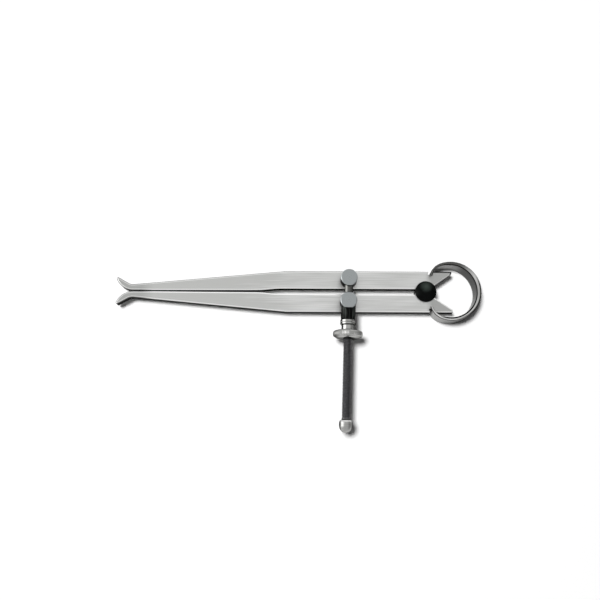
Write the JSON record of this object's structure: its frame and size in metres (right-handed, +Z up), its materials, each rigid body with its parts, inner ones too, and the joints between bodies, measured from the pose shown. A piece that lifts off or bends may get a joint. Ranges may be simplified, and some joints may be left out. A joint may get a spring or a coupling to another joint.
{
  "type": "inside spring caliper",
  "caption": "Inside spring caliper: flat steel legs with outward feet on a capped fulcrum, a ring bow spring, and an adjusting screw with a nut, for measuring bores.",
  "frame": {"origin": "middle of the closed tool's bounding box, on the plane that it lies on", "axes": "+X along the closed legs from the feet to the bow spring, the screw points to -Y, +Z up from the lying tool"},
  "size_m": [0.1764, 0.0822, 0.018],
  "materials": {
    "leg_steel": "satin, ground lengthwise",
    "turned_steel": "fine turned",
    "black_cap": "gloss",
    "spring_steel": "polished strip, darker inside",
    "post_steel": "satin, faced",
    "screw_steel": "oiled thread",
    "stop_steel": "satin",
    "black_sleeve": "semi-gloss",
    "nut_plate": "plated, fine knurl on the disc"
  },
  "bodies": {
    "fulcrum": {"fulcrum_roller": "turned_steel", "fulcrum_cap_top": "black_cap", "fulcrum_cap_bottom": "turned_steel"},
    "upper_leg": {"upper_leg": "leg_steel"},
    "lower_leg": {"lower_leg": "leg_steel"},
    "screw_assembly": {"upper_post": "post_steel", "upper_post_washer": "turned_steel", "adjusting_screw": "screw_steel", "screw_pin": "turned_steel", "screw_end_stop": "stop_steel"},
    "lower_post_assembly": {"lower_post": "post_steel", "lower_post_washer": "turned_steel", "thrust_sleeve": "black_sleeve"},
    "nut": {"adjusting_nut": "nut_plate"},
    "spring": {"bow_spring": "spring_steel"}
  },
  "joints": [
    {"name": "upper_leg_swing", "type": "hinge", "parent": "fulcrum", "child": "upper_leg", "pos_m": [0.06175, 0.02663, 0.005], "axis": [0, 0, -1], "range_deg": [0, 30]},
    {"name": "lower_leg_swing", "type": "hinge", "parent": "fulcrum", "child": "lower_leg", "pos_m": [0.06175, 0.02663, 0.005], "axis": [0, 0, 1], "range_deg": [0, 30]},
    {"name": "upper_post_swivel", "type": "hinge", "parent": "upper_leg", "child": "screw_assembly", "pos_m": [0.02441, 0.03218, 0.011], "axis": [0, 0, 1], "range_deg": [0, 31.56]},
    {"name": "lower_post_swivel", "type": "hinge", "parent": "lower_leg", "child": "lower_post_assembly", "pos_m": [0.02408, 0.02108, 0.011], "axis": [0, 0, -1], "range_deg": [0, 28.44]},
    {"name": "nut_spin", "type": "hinge", "parent": "lower_post_assembly", "child": "nut", "pos_m": [0.02372, 0.00864, 0.011], "axis": [0.0297, 0.9996, 0], "continuous": true},
    {"name": "spring_shift", "type": "slide", "parent": "fulcrum", "child": "spring", "axis": [1, 0, 0], "range_m": [0, 0.00385], "deforming": ["bow_spring"]}
  ],
  "couplings": [
    {"joint": "lower_leg_swing", "follows": "upper_leg_swing", "ratio": 1},
    {"joint": "upper_post_swivel", "follows": "upper_leg_swing", "ratio": 1.052},
    {"joint": "lower_post_swivel", "follows": "upper_leg_swing", "ratio": 0.948},
    {"joint": "spring_shift", "follows": "upper_leg_swing", "m_per_rad": 0.0073566}
  ]
}
